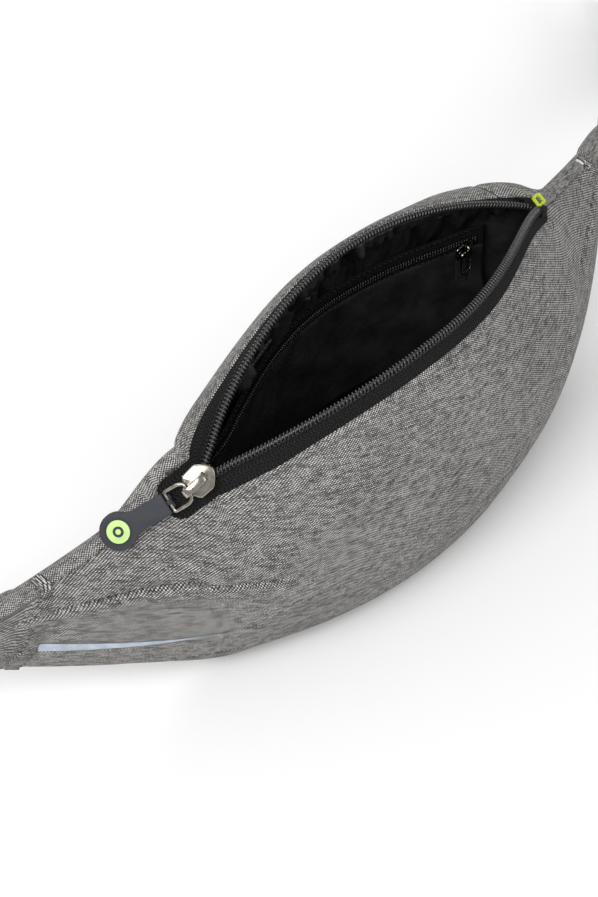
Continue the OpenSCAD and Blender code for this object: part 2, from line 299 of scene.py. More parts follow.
def lining(name):
    """Thin, slightly glossy woven cloth with fine creases."""
    m, k = material(name, (0.01, 0.01, 0.011), 0.42, Specular_IOR_Level=0.5)
    cell = k.math("MULTIPLY", k.wave(k.u, 0.0011), k.wave(k.v, 0.0011))
    crease = k.noise(k.uv, 90, 5, 0.6)
    k.color(k.ramp(crease, (0.3, (0.012, 0.012, 0.013)), (0.7, (0.032, 0.032, 0.035))))
    k.rough(k.step(crease, 0.3, 0.7, 0.3, 0.52))
    k.bump(cell, 0.00008, 0.5)
    k.bump(crease, 0.0016, 0.5)
    return m


def woven_tape(name, base=0.012, period=0.0012):
    """Zip tape with a fine zigzag weave."""
    m, k = material(name, (base, base, base), 0.85, Specular_IOR_Level=0.12)
    zig = k.math("ABSOLUTE", k.wave(k.v, 0.008))
    diag = k.wave(k.math("ADD", k.u, k.math("MULTIPLY", zig, 0.0016)), period)
    cross = k.wave(k.v, period * 0.6)
    h = k.math("MULTIPLY", diag, k.math("ADD", cross, 1.4))
    spots = k.noise(k.uv, 1500, 2)
    shade = k.math("ADD", k.math("MULTIPLY", h, 0.12), spots)
    k.color(k.ramp(shade, (0.35, (base * 0.45,) * 3), (0.72, (base * 2.1,) * 3)))
    k.bump(h, 0.00018, 0.8)
    return m


def ribbed(name, base, pitch, depth=0.0003, tones=None):
    """Webbing and ribbon: ribs across, fine yarns along."""
    m, k = material(name, (base, base, base), 0.78, Specular_IOR_Level=0.2)
    rib = k.wave(k.u, pitch)
    fine = k.wave(k.v, pitch * 0.45)
    h = k.math("ADD", rib, k.math("MULTIPLY", fine, 0.3))
    n = k.noise(k.uv, 700, 2)
    shade = k.math("ADD", k.math("MULTIPLY", h, 0.16), n)
    lo, hi = tones or ((base * 0.4,) * 3, (base * 1.9,) * 3)
    k.color(k.ramp(shade, (0.3, lo), (0.75, hi)))
    k.bump(h, depth, 0.9)
    return m


def coil_plastic(name):
    """Glossy nylon monofilament, with painted shade in its creases."""
    m, k = material(name, (0.012, 0.012, 0.013), 0.24, Specular_IOR_Level=0.75)
    n = k.noise(k.obj, 1400, 2)
    # Painted shade: the 0.0012 makes ambient occlusion darken the colour in the coil's creases.
    k.color(k.ramp(n, (0.3, (0.014, 0.014, 0.015)), (0.7, (0.034, 0.034, 0.036))), 0.0012)
    k.rough(k.step(n, 0.3, 0.7, 0.14, 0.3))
    return m


def nickel(name):
    """Warm plated metal, a little scuffed, with painted shade in its creases."""
    m, k = material(name, (0.62, 0.59, 0.53), 0.2, 1.0)
    n = k.noise(k.obj, 420, 4, 0.6)
    # Painted shade: the 0.004 makes ambient occlusion darken the colour in creases, such as where the arch
    # meets the plate.
    k.color(k.ramp(n, (0.3, (0.3, 0.275, 0.235)), (0.65, (0.47, 0.44, 0.385))), 0.004)
    k.rough(k.step(n, 0.3, 0.75, 0.12, 0.26))
    k.bump(n, 0.00008, 0.25)
    return m


def rubber(name, base, grain=2600):
    """Matt moulded rubber or plastic with faint dust, and thread."""
    m, k = material(name, base, 0.62, Specular_IOR_Level=0.4)
    n = k.noise(k.obj, grain, 2)
    dust = k.noise(k.obj, 150, 4)
    lo = tuple(c * 0.8 for c in base)
    hi = tuple(c * 1.25 for c in base)
    k.color(k.ramp(dust, (0.3, lo), (0.75, hi)))
    k.rough(k.step(dust, 0.3, 0.7, 0.52, 0.7))
    k.bump(n, 0.00006, 0.5)
    return m


def reflective(name):
    """Silver film of small prism cells."""
    m, k = material(name, (0.4, 0.45, 0.52), 0.34, 0.35)
    cell = k.math("MULTIPLY", k.wave(k.u, 0.0009), k.wave(k.v, 0.0009))
    n = k.noise(k.uv, 260, 3)
    k.color(k.ramp(n, (0.3, (0.33, 0.38, 0.45)), (0.7, (0.5, 0.56, 0.63))))
    k.bump(cell, 0.00005, 0.5)
    return m


def spacer_mesh(name):
    """Knitted mesh with rows of holes."""
    m, k = material(name, (0.03, 0.03, 0.032), 0.88, Specular_IOR_Level=0.15)
    row = k.wave(k.v, 0.0052)
    hole = k.math("MULTIPLY", k.wave(k.math("ADD", k.u, k.math("MULTIPLY", row, 0.0006)), 0.003), row)
    k.color(k.ramp(k.step(hole, -0.2, 0.5), (0.0, (0.045, 0.045, 0.048)), (1.0, (0.006, 0.006, 0.007))))
    k.bump(k.math("MULTIPLY", hole, -1.0), 0.0006, 0.9)
    return m


GREY = heather("heather_grey")
GREY_TRIM = heather("heather_trim", 0.9)
THREAD = rubber("thread_grey", (0.13, 0.125, 0.12), 4000)
THREAD_PALE = rubber("thread_pale", (0.55, 0.54, 0.52), 4000)
THREAD_BLACK = rubber("thread_black", (0.02, 0.02, 0.022), 4000)
LINING = lining("lining_black")
TAPE = woven_tape("zip_tape_black")
LABEL = woven_tape("label_satin", 0.03, 0.0007)
GROSGRAIN = ribbed("grosgrain_black", 0.035, 0.0016)
WEBBING = ribbed("webbing_black", 0.018, 0.0024)
COIL = coil_plastic("coil_nylon")
NICKEL = nickel("nickel_warm")
RUBBER = rubber("rubber_slate", (0.03, 0.033, 0.041))
GREEN = rubber("accent_green", (0.52, 0.74, 0.27))
YELLOW = ribbed("accent_thread", 0.4, 0.0009, 0.0002, ((0.42, 0.52, 0.02), (0.78, 0.9, 0.08)))
PLASTIC = rubber("buckle_black", (0.016, 0.016, 0.017), 1800)
REFLECT = reflective("reflective_film")
MESH3D = spacer_mesh("spacer_mesh_black")


# ---- mesh helpers: everything is in millimetres until make() ----
def make(name, verts, faces, mat, body, nodes=(), uvs=None):
    """A piece from vertices in mm: it rides on body and stands for nodes."""
    me = bpy.data.meshes.new(name)
    me.from_pydata([tuple(float(c) * MM for c in v) for v in verts], [],
                   [tuple(int(i) for i in f) for f in faces])
    me.validate()
    bm = bmesh.new()
    bm.from_mesh(me)
    bmesh.ops.recalc_face_normals(bm, faces=bm.faces)
    bm.to_mesh(me)
    bm.free()
    if uvs is not None:
        layer = me.uv_layers.new(name="UVMap")
        idx = np.empty(len(me.loops), int)
        me.loops.foreach_get("vertex_index", idx)
        layer.data.foreach_set("uv", (np.asarray(uvs, float)[idx] * MM).ravel())
    me.materials.append(mat)
    for p in me.polygons:
        p.use_smooth = True
    o = bpy.data.objects.new(name, me)
    bpy.context.collection.objects.link(o)
    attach(o, body)
    if nodes:
        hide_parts(*nodes)
    return o


class Parts:
    """Gathers several closed meshes into one."""

    def __init__(self):
        self.v, self.f, self.uv = [], [], []

    def add(self, verts, faces, uvs=None):
        n = len(self.v)
        self.v += [tuple(p) for p in verts]
        self.uv += [tuple(p) for p in (uvs if uvs is not None else [(p[0], p[1]) for p in verts])]
        self.f += [tuple(i + n for i in f) for f in faces]

    def slab(self, at, *shape, **more):
        """Adds a slab that the matrix at puts in place."""
        verts, faces = slab(*shape, **more)
        self.add(placed(verts, at), faces)

    def sweep(self, at, *shape, **more):
        verts, faces, _ = sweep(*shape, **more)
        self.add(placed(verts, at), faces)

    def make(self, name, mat, body, slot, nodes=()):
        return make(name, self.v, self.f, mat, body, nodes, self.uv)


def unit(a):
    n = np.linalg.norm(a, axis=-1, keepdims=True)
    return a / np.maximum(n, 1e-9)


def normals(P):
    du = np.gradient(P, axis=0)
    dv = np.gradient(P, axis=1)
    return unit(np.cross(du, dv))


def arcs(P):
    """Arc length along both directions of a grid, in mm."""
    a = np.zeros(P.shape[:2])
    b = np.zeros(P.shape[:2])
    a[1:] = np.cumsum(np.linalg.norm(np.diff(P, axis=0), axis=2), axis=0)
    b[:, 1:] = np.cumsum(np.linalg.norm(np.diff(P, axis=1), axis=2), axis=1)
    return a, b


def grid_mesh(outer, inner):
    """Closed shell between two grids."""
    r, c = outer.shape[:2]
    n = r * c
    verts = np.concatenate([outer.reshape(-1, 3), inner.reshape(-1, 3)])
    f = []
    for i in range(r - 1):
        for j in range(c - 1):
            k = i * c + j
            f.append((k, k + c, k + c + 1, k + 1))
            f.append((n + k, n + k + 1, n + k + c + 1, n + k + c))
    for i in range(r - 1):
        a, b = i * c, i * c + c - 1
        f.append((a, n + a, n + a + c, a + c))
        f.append((b, b + c, n + b + c, n + b))
    for j in range(c - 1):
        a, b = j, (r - 1) * c + j
        f.append((a, a + 1, n + a + 1, n + a))
        f.append((b, n + b, n + b + 1, b + 1))
    return verts, f


def spaced(n, length, edge=2.4):
    """Parameters 0..1 with extra points close to both ends, for rounded borders."""
    near = np.array([0, 0.12, 0.3, 0.6, 1.0]) * edge / max(length, edge * 4)
    mid = np.linspace(near[-1], 1 - near[-1], n)[1:-1]
    return np.concatenate([near, mid, 1 - near[::-1]])


def rolled(d, r):
    d = np.clip(d, 0, r)
    return r - np.sqrt(np.maximum(r * r - (r - d) ** 2, 0))


FLAT = (0, 0, 0, 0)  # a panel whose borders don't roll inwards


class Surf:
    """A panel: grid of points, outward normals, and lookups by x and v."""

    def __init__(self, fn, xs, vs, lift=None, roll=(2.0, 2.0, 2.0, 2.0), wave=0.0, seed=1, back=0.0):
        self.xs, self.vs = np.asarray(xs), np.asarray(vs)
        P = np.array([[(x, *fn(x, v)) for v in vs] for x in xs])
        N = normals(P)
        a, b = arcs(P)
        d = np.zeros(P.shape[:2])
        for r, dist in zip(roll, (a, a[-1:] - a, b, b[:, -1:] - b)):
            if r:
                d = np.maximum(d, rolled(dist, r))
        h = -d - back
        if wave:
            h = h + wave * ripple(P, seed) * np.clip(np.minimum(b, b[:, -1:] - b) / 8, 0, 1)
        if lift is not None:
            h = h + np.array([[lift(x, v) for v in vs] for x in xs])
        self.P = P + N * h[..., None]
        self.N = normals(self.P)
        self.a, self.b = a, b

    def at(self, x, v, h=0.0):
        i = np.interp(x, self.xs, np.arange(len(self.xs)))
        j = np.interp(v, self.vs, np.arange(len(self.vs)))
        i0, j0 = min(int(i), len(self.xs) - 2), min(int(j), len(self.vs) - 2)
        fi, fj = i - i0, j - j0

        def mixed(g):
            return ((1 - fi) * (1 - fj) * g[i0, j0] + fi * (1 - fj) * g[i0 + 1, j0]
                    + (1 - fi) * fj * g[i0, j0 + 1] + fi * fj * g[i0 + 1, j0 + 1])
        n = unit(mixed(self.N))
        return mixed(self.P) + n * h, n

    def shell(self, name, mat, nodes, thick=1.6, body="bag"):
        verts, faces = grid_mesh(self.P, self.P - self.N * thick)
        uv = np.stack([np.broadcast_to(self.xs[:, None], self.a.shape), self.b], axis=-1).reshape(-1, 2)
        return make(name, verts, faces, mat, body, nodes, np.concatenate([uv, uv]))


def ripple(P, seed):
    """Smooth low waves of cloth, -1 to 1, from a few fixed sines."""
    rnd = random.Random(seed)
    h = np.zeros(P.shape[:2])
    for _ in range(9):
        d = np.array([rnd.uniform(-1, 1) for _ in range(3)])
        d /= np.linalg.norm(d)
        h += np.sin(P @ d * rnd.uniform(0.05, 0.16) + rnd.uniform(0, 6.28)) * rnd.uniform(0.1, 0.3)
    return h


def sweep(path, profile, closed=False, up=(0, 0, 1), scale=None):
    """Sweeps a 2D profile along a path; returns verts, faces, uvs."""
    path = np.asarray(path, float)
    n, m = len(path), len(profile)
    tan = np.roll(path, -1, 0) - np.roll(path, 1, 0) if closed else np.gradient(path, axis=0)
    tan = unit(tan)
    ref = np.asarray(up, float)
    ref = np.broadcast_to(ref, path.shape)
    side = unit(np.cross(tan, ref))
    nor = unit(np.cross(side, tan))
    verts, uvs = [], []
    s = np.concatenate([[0], np.cumsum(np.linalg.norm(np.diff(path, axis=0), axis=1))])
    for i in range(n):
        k = 1.0 if scale is None else scale[i]
        t = 0.0
        for j, (px, py) in enumerate(profile):
            verts.append(path[i] + k * (px * side[i] + py * nor[i]))
            uvs.append((s[i], t))
            nx = profile[(j + 1) % m]
            t += math.hypot(nx[0] - px, nx[1] - py)
    faces = []
    for i in range(n if closed else n - 1):
        i2 = (i + 1) % n
        for j in range(m):
            j2 = (j + 1) % m
            faces.append((i * m + j, i * m + j2, i2 * m + j2, i2 * m + j))
    if not closed:
        faces.append(tuple(range(m))[::-1])
        faces.append(tuple((n - 1) * m + j for j in range(m)))
    return verts, faces, uvs


def circle(r, n=8, cx=0.0):
    return [(cx + r * math.cos(2 * math.pi * i / n), r * math.sin(2 * math.pi * i / n)) for i in range(n)]


def rrect(w, h, r, n=4, cx=0.0, cy=0.0):
    """A rounded rectangle about (cx, cy)."""
    pts = []
    for sx, sy, a0 in ((1, 1, 0), (-1, 1, 90), (-1, -1, 180), (1, -1, 270)):
        for i in range(n + 1):
            a = math.radians(a0 + 90 * i / n)
            pts.append((cx + sx * (w / 2 - r) + r * math.cos(a), cy + sy * (h / 2 - r) + r * math.sin(a)))
    return pts


def inset(loop, d):
    """Moves a counter-clockwise loop inwards by d."""
    n = len(loop)
    out = []
    for i in range(n):
        a, b, c = (np.array(loop[(i + k) % n], float) for k in (-1, 0, 1))
        e1, e2 = unit(b - a), unit(c - b)
        n1, n2 = np.array([-e1[1], e1[0]]), np.array([-e2[1], e2[0]])
        m = unit(n1 + n2)
        out.append(tuple(b + m * d / max(float(m @ n1), 0.5)))
    return out


def slab(outline, z0, z1, r, hole=None, dome=0.0):
    """An extruded outline with rounded edges; a hole has as many points as the outline."""
    steps = [(0.0, r), (0.15 * r, 0.5 * r), (0.5 * r, 0.15 * r), (r, 0.0)]
    levels = [(z0 + z, d) for z, d in steps] + [(z1 - z, d) for z, d in steps[::-1]]
    m = len(outline)
    verts, faces = [], []
    for z, d in levels:
        verts += [(x, y, z) for x, y in inset(outline, d)]
    for i in range(len(levels) - 1):
        for j in range(m):
            j2 = (j + 1) % m
            faces.append((i * m + j, i * m + j2, (i + 1) * m + j2, (i + 1) * m + j))
    top = (len(levels) - 1) * m
    if hole is None:
        cx = sum(x for x, _ in outline) / m
        cy = sum(y for _, y in outline) / m
        for base, z, flip in ((0, z0, True), (top, z1 + dome, False)):
            k = len(verts)
            verts.append((cx, cy, z))
            for j in range(m):
                j2 = (j + 1) % m
                faces.append((base + j2, base + j, k) if flip else (base + j, base + j2, k))
        return verts, faces
    off = len(verts)
    for z, d in levels:
        verts += [(x, y, z) for x, y in inset(hole, -d)]
    for i in range(len(levels) - 1):
        for j in range(m):
            j2 = (j + 1) % m
            faces.append((off + i * m + j2, off + i * m + j, off + (i + 1) * m + j, off + (i + 1) * m + j2))
    for j in range(m):
        j2 = (j + 1) % m
        faces.append((j2, j, off + j, off + j2))
        faces.append((top + j, top + j2, off + top + j2, off + top + j))
    return verts, faces


STAND = Matrix.Rotation(math.pi / 2, 4, "X")  # stands a flat slab up: its y becomes z


def placed(verts, matrix):
    return [tuple(matrix @ Vector(v)) for v in verts]


def stitches(name, path, mat, slot, pitch=3.2, length=2.3, r=0.27):
    """A row of thread stitches along a list of (point, normal)."""
    p = np.array([a for a, _ in path])
    n = np.array([b for _, b in path])
    s = np.concatenate([[0], np.cumsum(np.linalg.norm(np.diff(p, axis=0), axis=1))])
    parts = Parts()
    k = pitch / 2
    while k < s[-1] - length / 2:
        pts, nor = [], []
        for t in np.linspace(-0.5, 0.5, 6):
            w = k + t * length
            pts.append([np.interp(w, s, p[:, c]) for c in range(3)])
            nor.append([np.interp(w, s, n[:, c]) for c in range(3)])
        pts, nor = np.array(pts), unit(np.array(nor))
        arch = np.array([-0.45, 0.0, 0.22, 0.22, 0.0, -0.45]) - 0.1
        pts = pts + nor * (arch[:, None] + r * 0.6)
        v, f, u = sweep(pts, circle(r, 6), up=nor[2], scale=[0.45, 0.9, 1, 1, 0.9, 0.45])
        parts.add(v, f, u)
        k += pitch
    return parts.make(name, mat, "bag", slot)


# ---- camera: the photo's angle on the mouth's two ends ----
AZ, EL, DIST = math.radians(-47), math.radians(47), 900.0
PX = 2304.0
back = np.array([math.sin(AZ) * math.cos(EL), -math.cos(AZ) * math.cos(EL), math.sin(EL)])
right = np.array([math.cos(AZ), math.sin(AZ), 0.0])
up = np.cross(back, right)
eye = np.array([0, 0, MOUTH_Z]) + DIST * back
turn_x, turn_y = 80.0 / PX, 109.5 / PX
aim = -back - turn_x * right - turn_y * up
aim /= np.linalg.norm(aim)
cam_data = bpy.data.cameras.new("camera")
cam_data.sensor_fit = "VERTICAL"
cam_data.sensor_height = 24.0
cam_data.lens = PX / 897 * 24.0
cam_data.clip_start = 0.05
cam = bpy.data.objects.new("camera", cam_data)
bpy.context.collection.objects.link(cam)
r3 = np.cross(aim, up)
r3 /= np.linalg.norm(r3)
u3 = np.cross(r3, aim)
rot = Matrix(((r3[0], u3[0], -aim[0]), (r3[1], u3[1], -aim[1]), (r3[2], u3[2], -aim[2])))
cam.matrix_world = Matrix.Translation(Vector(eye * MM)) @ rot.to_4x4()
bpy.context.scene.camera = cam

# ---- outer panels ----
NX = 170  # columns of a full-length panel


def groove(d, depth, width):
    return -depth * math.exp(-(d / width) ** 2)


def dart_v(x):
    """Height of the dart seams on the front panel at |x|."""
    return 0.39 + (abs(x) - 87) * 0.004


def front_lift(x, v):
    """The darts' seams with the cloth puffed beside them, and a few broad dents."""
    h = 0.0
    far = 66.0  # the panel's height in mm, roughly
    start = 87.0 if x < 0 else 118.0
    d = (v - dart_v(x)) * far
    if abs(x) > start - 14:
        k = smooth((abs(x) - start + 14) / 22)
        h += k * groove(d, 2.3, 0.95)
        h += k * 1.8 * math.exp(-((d + 6) / 5) ** 2) + k * 0.7 * math.exp(-((d - 6) / 6) ** 2)
    if x < 0:
        e = math.hypot((x + 108) / 13, (v - 0.25) * far / 13)
        h -= 2.6 * math.exp(-e * e)
        e = math.hypot((x + 74) / 9, (v - 0.62) * far / 24)
        h -= 1.2 * math.exp(-e * e)
        e = math.hypot((x + 52) / 16, (v - 0.6) * far / 30)
        h += 1.2 * math.exp(-e * e)
    else:
        e = math.hypot((x - 96) / 11, (v - 0.45) * far / 26)
        h -= 1.4 * math.exp(-e * e)
    return h


def front_fn(x, v):
    return front_curve(x, v * (1 - kf(x)))


def top_fn(x, v):
    k = kt(x)
    return top_curve(x, k + (1 - k) * v)


EDGE = BINDING_X + 10.0  # the panels run on under the wings
XS = -EDGE + 2 * EDGE * spaced(NX, 2 * EDGE)
front = Surf(front_fn, XS, spaced(58, 110), front_lift, wave=0.7, seed=3)
front.shell("front_panel_cloth", GREY, ["front_panel"])
band = Surf(band_curve, XS, spaced(10, 16), roll=(2, 2, 1.6, 1.6), wave=0.4, seed=5)
band.shell("lower_band_cloth", GREY, ["lower_band"])
base = Surf(base_curve, XS, spaced(34, 90), wave=0.0, seed=7)
base.shell("bottom_panel_cloth", GREY, ["bottom_panel"])
rear = Surf(back_curve, XS, spaced(40, 90), wave=0.8, seed=9)
rear.shell("back_panel_cloth", GREY, ["back_panel"])
SEAM_X = 86.4
xm = -EDGE + (SEAM_X - 0.2 + EDGE) * spaced(140, 250)
top = Surf(top_fn, xm, spaced(18, 26), wave=0.5, seed=11)
top.shell("top_panel_main_cloth", GREY, ["top_panel_main"])
xe = SEAM_X + 0.2 + (EDGE - SEAM_X - 0.2) * spaced(50, 90)
top_end = Surf(top_fn, xe, spaced(18, 26), wave=0.5, seed=13)
top_end.shell("top_panel_end_cloth", GREY, ["top_panel_end"])

# ---- topstitching along the mouth and seams ----


def run(surface, xs, v_of):
    return [surface.at(x, v_of(x), 0.0) for x in xs]


def v_in(surface, mm):
    """v that lies mm inside the far edge (negative: the near edge)."""
    def f(x):
        i = int(round(np.interp(x, surface.xs, np.arange(len(surface.xs)))))
        row = surface.b[i]
        return float(np.interp(row[-1] - mm if mm > 0 else -mm, row, surface.vs))
    return f


mouth_x = np.linspace(-96, 96, 200)
stitches("stitch_front_mouth", run(front, mouth_x, v_in(front, 3.4)), THREAD, "fabric_grey")
stitches("stitch_top_mouth", run(top, np.linspace(-96, 88, 190), v_in(top, -3.0)), THREAD, "fabric_grey")

# ---- wings, bindings, reflective strip ----


def seam_x(v):
    """Where the binding's inner edge lies: it leans outwards towards the base."""
    return 155.0 + 13.3 * (1 - v)


BIND_W = 4.8
# once round a wing: which curve, how far along it, and where the binding lies there
ROUND = ([(top_fn, t, 155.0 + 7 * t) for t in np.linspace(0, 1, 14)[:-1]]
         + [(back_curve, t, BINDING_X) for t in np.linspace(0, 1, 16)[:-1]]
         + [(base_curve, t, BINDING_X + 9.5 * smooth(2 * t - 1)) for t in np.linspace(0, 1, 18)[:-1]]
         + [(band_curve, t, 171.5 - 3.2 * t) for t in np.linspace(0, 1, 7)[:-1]]
         + [(front_fn, t, seam_x(t)) for t in np.linspace(0, 1, 30)[:-1]])


def wing(side, name, node):
    """A padded wing: its inner edge is turned in under the binding."""
    m = len(ROUND)
    steps = [0, 0.6, 1.6, 3.0]
    verts, uvs = [], []
    cols = np.linspace(0, 1, 26)[1:]
    for i in range(len(steps) + len(cols)):
        ring = []
        for fn, t, start in ROUND:
            x0 = start + BIND_W - 1.4
            x = x0 + steps[i] if i < len(steps) else x0 + 3 + (WING_X - x0 - 3) * cols[i - len(steps)]
            ring.append((side * x, *fn(side * x, t)))
        ring = np.array(ring)
        tan = np.roll(ring[:, 1:], -1, 0) - np.roll(ring[:, 1:], 1, 0)
        nor = unit(np.stack([tan[:, 1], -tan[:, 0]], axis=1))
        mid = ring[:, 1:].mean(axis=0)
        if np.sum(nor * (ring[:, 1:] - mid)) < 0:
            nor = -nor
        k = i / (len(steps) + len(cols) - 1)
        h = (-1.4, 0.1, 0.55, 0.7)[i] if i < len(steps) else 0.7 + 0.9 * math.sin(math.pi * k) ** 2
        if i == len(steps) + len(cols) - 1:
            h = -0.9
        ring[:, 1:] += nor * h
        low = ring[:, 2] < 0.15
        ring[low, 2] = 0.15
        verts += [tuple(p) for p in ring]
        s = np.concatenate([[0], np.cumsum(np.linalg.norm(np.diff(ring, axis=0), axis=1))])
        uvs += list(zip(ring[:, 0], s))
    n = len(steps) + len(cols)
    faces = [(i * m + j, (i + 1) * m + j, (i + 1) * m + (j + 1) % m, i * m + (j + 1) % m)
             for i in range(n - 1) for j in range(m)]
    faces += [tuple(range(m)), tuple((n - 1) * m + j for j in range(m))]
    return make(name, verts, faces, GREY, "bag", [node], uvs)


wing(-1, "wing_left_cloth", "wing_left")
wing(1, "wing_right_cloth", "wing_right")


def binding(side, name, node):
    """A folded strip over the join, from the base seam over the crest."""
    spots = ([(band_curve, t, 171.5 - 3.2 * t) for t in np.linspace(0, 1, 12)[:-1]]
             + [(front_fn, t, seam_x(t)) for t in np.linspace(0, 1, 60)[:-1]]
             + [(top_fn, t, 155.0) for t in np.linspace(0, 0.6, 12)])
    ks = np.array([0, 0.04, 0.12, 0.25, 0.42, 0.5, 0.58, 0.75, 0.88, 0.96, 1])
    hs = np.array([-0.3, 0.75, 1.15, 1.3, 1.25, 1.2, 1.25, 1.35, 1.25, 0.85, -0.2])
    P = np.array([[(side * (x + k * BIND_W), *fn(side * (x + k * BIND_W), t)) for k in ks]
                  for fn, t, x in spots])
    N = normals(P)
    if np.mean(N[20:50, :, 1]) > 0:
        N = -N
    out = P + N * (hs[None, :, None])
    verts, faces = grid_mesh(out, P - N * 0.6)
    make(name, verts, faces, GREY_TRIM, "bag", [node],
         [(p[0], p[2]) for p in P.reshape(-1, 3)] * 2)
    for k, col in ((2, "inner"), (8, "outer")):
        row = [(out[i, k], N[i, k]) for i in range(len(out) - 8)]
        stitches(name + "_row_" + col, row, THREAD, "fabric_grey")
    tack = [(out[-14 + i, 3], N[-14 + i, 3]) for i in range(9)]
    stitches(name + "_tack", tack, THREAD_PALE, "fabric_grey", 2.9, 2.2, 0.24)


binding(-1, "binding_left_cloth", "binding_left")
binding(1, "binding_right_cloth", "binding_right")

xs = np.linspace(-167, -112, 90)
rows = []
for x in xs:
    w = 4.6 * (x + 112) / -55 + 0.15
    f = v_in(front, -1.2)(x)
    row = [front.at(x, f, 0.42)[0]]
    g = v_in(front, -1.2 - w)(x)
    for t in np.linspace(0, 1, 6)[1:]:
        row.append(front.at(x, f + (g - f) * t, 0.5)[0])
    rows.append(row)
R = np.array(rows)
verts, faces = grid_mesh(R, R + np.array([0, 0.3, 0]))
make("reflective_strip_film", verts, faces, REFLECT, "bag", ["reflective_strip"],
     [(p[0], p[2]) for p in R.reshape(-1, 3)] * 2)

# ---- back pad ----
PAD_HALF = 97.2
CHANNEL = 32.4  # from one sewn channel of the pad to the next


def pad_swell(x, v):
    return 0.54 * math.cos(x * 2 * math.pi / CHANNEL) * math.sin(math.pi * v) ** 0.5


pad = Surf(lambda x, v: back_curve(x, 0.16 + 0.68 * v), PAD_HALF * (2 * spaced(80, 190) - 1), spaced(34, 60),
           pad_swell, roll=(3, 3, 3, 3), back=-3.6)
pad.shell("back_pad_mesh", MESH3D, ["back_pad"], thick=3.0)

# ---- main zip ----
tape_x = np.linspace(-113.4, 99.2, 220)


def tape_front(x, v):
    return front_curve(x, 1 - kf(x) * (1 - v) * 1.2)


def tape_back(x, v):
    return top_curve(x, kt(x) * v * 1.2)


tf = Surf(tape_front, tape_x, np.linspace(0, 1, 12), roll=FLAT, back=0.75)
tf.shell("zip_tape_front_weave", TAPE, ["zip_tape_front"], 0.7)
tb = Surf(tape_back, tape_x, np.linspace(0, 1, 12), roll=FLAT, back=0.75)
tb.shell("zip_tape_back_weave", TAPE, ["zip_tape_back"], 0.7)


def helix(centre, pitch, radius, wire, flat=1.0, per=12):
    """A nylon coil: a wire wound round a smooth centre line."""
    c = np.array(centre)
    s = np.concatenate([[0], np.cumsum(np.linalg.norm(np.diff(c, axis=0), axis=1))])
    turns = s[-1] / pitch
    n = int(turns * per)
    w = np.linspace(0, s[-1], n)
    p = np.stack([np.interp(w, s, c[:, k]) for k in range(3)], axis=1)
    tan = unit(np.gradient(p, axis=0))
    side = unit(np.cross(tan, np.array([0, 0, 1.0])))
    nor = np.cross(side, tan)
    a = 2 * np.pi * np.arange(n) / per
    path = p + radius * np.cos(a)[:, None] * side + radius * flat * np.sin(a)[:, None] * nor
    return sweep(path, circle(wire, 6), up=unit(path - p))


def coil(fn, sign, name, node):
    """One half of the zip: a helix on its core cord, sewn to the tape."""
    line = [(x, *(fn(x) + vec(sign * 1.1 * smooth((x + 94) / 9), -0.15)))
            for x in np.linspace(-93.4, 98, 250)]
    parts = Parts()
    parts.add(*helix(line, 1.55, 1.25, 0.46, 0.75))
    parts.add(*sweep(line, circle(0.7, 8)))
    parts.make(name, COIL, "bag", "coil_black", [node])
    run_line = [(np.array(p) + np.array([0, -sign * 2.2, 0.25]), np.array([0, 0, 1.0])) for p in line]
    stitches(name + "_thread", run_line, THREAD_BLACK, "tape_black", 1.9, 1.3, 0.24)


coil(mouth_f, 1, "zip_coil_front_teeth", "zip_coil_front")
coil(mouth_b, -1, "zip_coil_back_teeth", "zip_coil_back")

# end tab: a folded piece of tape over the far end of the zip


def tab_point(x, u, lift):
    """u runs from the front fabric (0) over the mouth to the back fabric (1)."""
    if u < 0.4:
        p = tape_front(x, 0.55 + 0.45 * u / 0.4)
    elif u > 0.6:
        p = tape_back(x, 0.75 * (u - 0.6) / 0.4)
    else:
        p = mouth_f(x) + (mouth_b(x) - mouth_f(x)) * (u - 0.4) / 0.2
    return (x, p[0] - 0.55 * lift, p[1] + 0.83 * lift)


T = []
for i, t in enumerate(np.linspace(0, 1, 18)):
    edge = 1 - abs(2 * t - 1) ** 6
    T.append([tab_point(93.6 + 7.0 * t - 2.2 * (2 * u - 1) ** 2, u,
                        0.6 + 1.1 * edge ** 0.5 * (1 - abs(2 * u - 1) ** 10))
              for u in np.linspace(0, 1, 30)])
T = np.array(T)
verts, faces = grid_mesh(T, T + np.array([0, 0.4, -0.75]))
make("zip_end_tab_fold", verts, faces, TAPE, "bag", ["zip_end_tab"],
     [(p[0], p[1]) for p in T.reshape(-1, 3)] * 2)
tab_at = (Matrix.Translation((MOUTH_HALF - 3, 1.5, MOUTH_Z + 3.1)) @ Matrix.Rotation(math.radians(32), 4, "X")
          @ Matrix.Translation((0, 1.6, 1.5)))
mark = Parts()
for w, h, x, y in ((1.2, 4.6, -1.7, 0), (1.2, 4.6, 1.7, 0), (3.0, 1.2, 0, 2.0), (3.0, 1.2, 0, -2.0)):
    mark.slab(tab_at @ Matrix.Translation((x, y, 0)), rrect(w, h, 0.5, 3), 0, 1.2, 0.3)
mark.make("end_tab_thread", YELLOW, "bag", "accent_yellow", ["end_tab_mark"])

# ---- slider, wire frame and rubber pull ----
SD = unit(np.array([1, -0.2, 0.5]))
SN = unit(np.cross(SD, [0, math.cos(math.radians(37.5)), math.sin(math.radians(37.5))]))
SE = np.cross(SN, SD)
at = Matrix(((SD[0], SE[0], SN[0], -MOUTH_HALF + 1.5),
             (SD[1], SE[1], SN[1], 0.5),
             (SD[2], SE[2], SN[2], MOUTH_Z - 0.7),
             (0, 0, 0, 1)))


